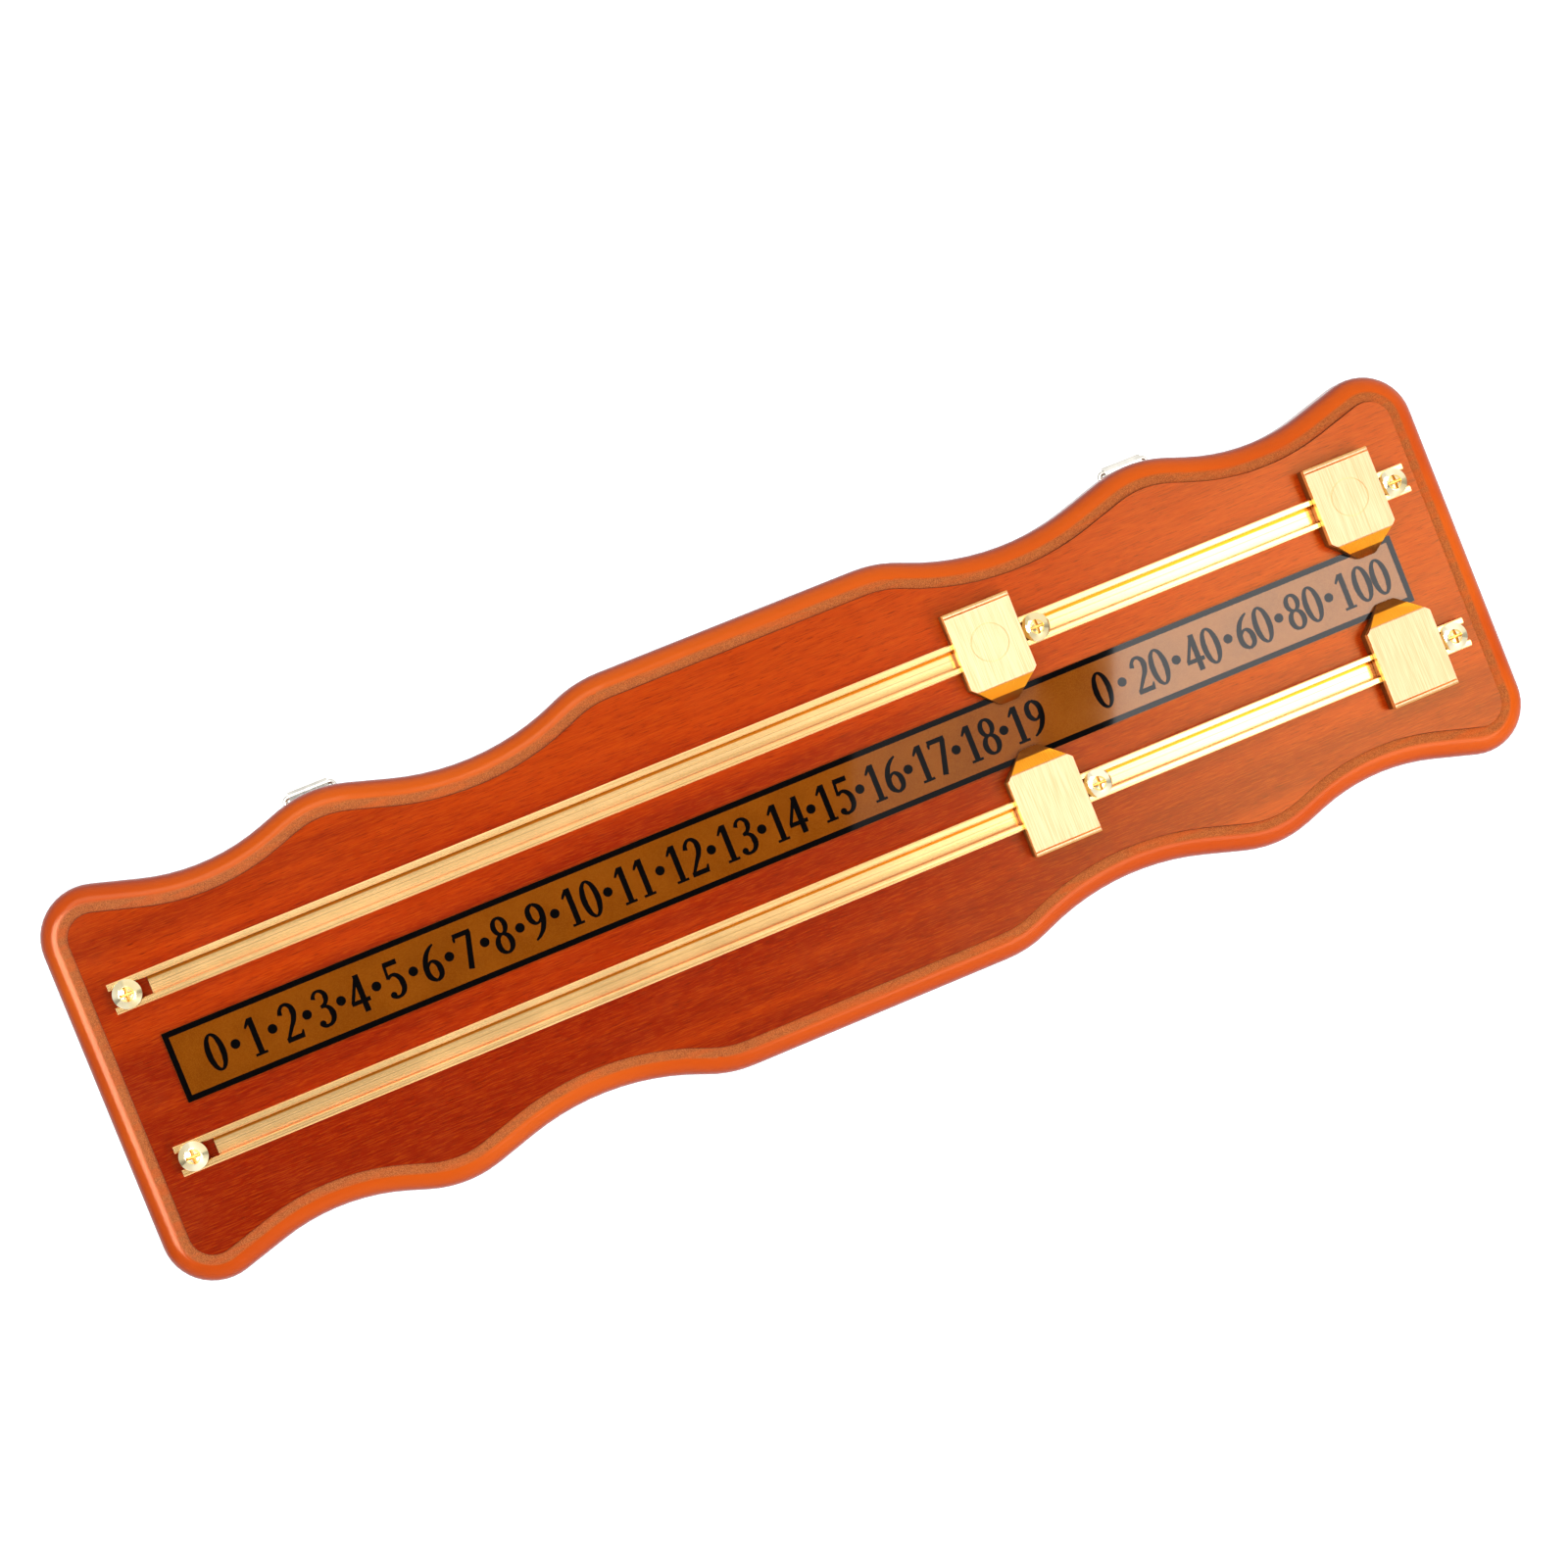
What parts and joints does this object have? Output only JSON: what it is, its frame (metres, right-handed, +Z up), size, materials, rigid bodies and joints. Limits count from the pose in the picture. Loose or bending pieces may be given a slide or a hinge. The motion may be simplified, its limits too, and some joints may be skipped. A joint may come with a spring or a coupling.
{
  "type": "billiard scoreboard",
  "caption": "Wall-hung billiard scoreboard: a wavy veneered board with a printed scale strip, slotted metal rails with sliding pointers, and ring hangers on the back.",
  "frame": {"origin": "centre of the board's flat back face", "axes": "+X along the rails towards the higher figures (the viewer's right), +Z up the wall, the printed front faces -Y and the back lies on the plane Y = 0"},
  "size_m": [0.482, 0.0265, 0.1384],
  "materials": {
    "moulded_edge": "glossy amber stain",
    "face_veneer": "red-orange stained veneer under gloss lacquer",
    "back_veneer": "plain satin veneer",
    "tape": "matt double-sided tape",
    "scale": "glossy bronze print with a black border and black figures",
    "rail": "pale gold, brushed along its length",
    "rail_screw": "pale bright plating",
    "pointer": "pale gold, brushed across its top",
    "hanger": "bright nickel",
    "hanger_screw": "bright nickel"
  },
  "bodies": {
    "board": {"board_core": "moulded_edge", "face_veneer": "face_veneer", "back_veneer": "back_veneer", "scale_tape": "tape", "scale_strip": "scale", "upper_rail": "rail", "lower_rail": "rail", "upper_rail_end_screws": "rail_screw", "lower_rail_end_screws": "rail_screw", "upper_rail_middle_screw": "rail_screw", "lower_rail_middle_screw": "rail_screw", "left_hanger_strap": "hanger", "right_hanger_strap": "hanger", "left_hanger_screw": "hanger_screw", "right_hanger_screw": "hanger_screw"},
    "upper_units_pointer": {"upper_units_pointer": "pointer"},
    "upper_hundreds_pointer": {"upper_hundreds_pointer": "pointer"},
    "lower_units_pointer": {"lower_units_pointer": "pointer"},
    "lower_hundreds_pointer": {"lower_hundreds_pointer": "pointer"},
    "left_hanger_ring": {"left_hanger_ring": "hanger"},
    "right_hanger_ring": {"right_hanger_ring": "hanger"}
  },
  "joints": [
    {"name": "upper_units_slide", "type": "slide", "parent": "board", "child": "upper_units_pointer", "axis": [1, 0, 0], "range_m": [-0.2798, 0]},
    {"name": "upper_hundreds_slide", "type": "slide", "parent": "board", "child": "upper_hundreds_pointer", "axis": [1, 0, 0], "range_m": [-0.0969, 0]},
    {"name": "lower_units_slide", "type": "slide", "parent": "board", "child": "lower_units_pointer", "axis": [1, 0, 0], "range_m": [-0.2798, 0]},
    {"name": "lower_hundreds_slide", "type": "slide", "parent": "board", "child": "lower_hundreds_pointer", "axis": [1, 0, 0], "range_m": [-0.0969, 0]},
    {"name": "left_hanger_ring_swing", "type": "hinge", "parent": "board", "child": "left_hanger_ring", "pos_m": [-0.14479, 0.00195, 0.06805], "axis": [1, 0, 0], "range_deg": [0, 180]},
    {"name": "right_hanger_ring_swing", "type": "hinge", "parent": "board", "child": "right_hanger_ring", "pos_m": [0.14479, 0.00195, 0.06805], "axis": [1, 0, 0], "range_deg": [0, 180]}
  ]
}
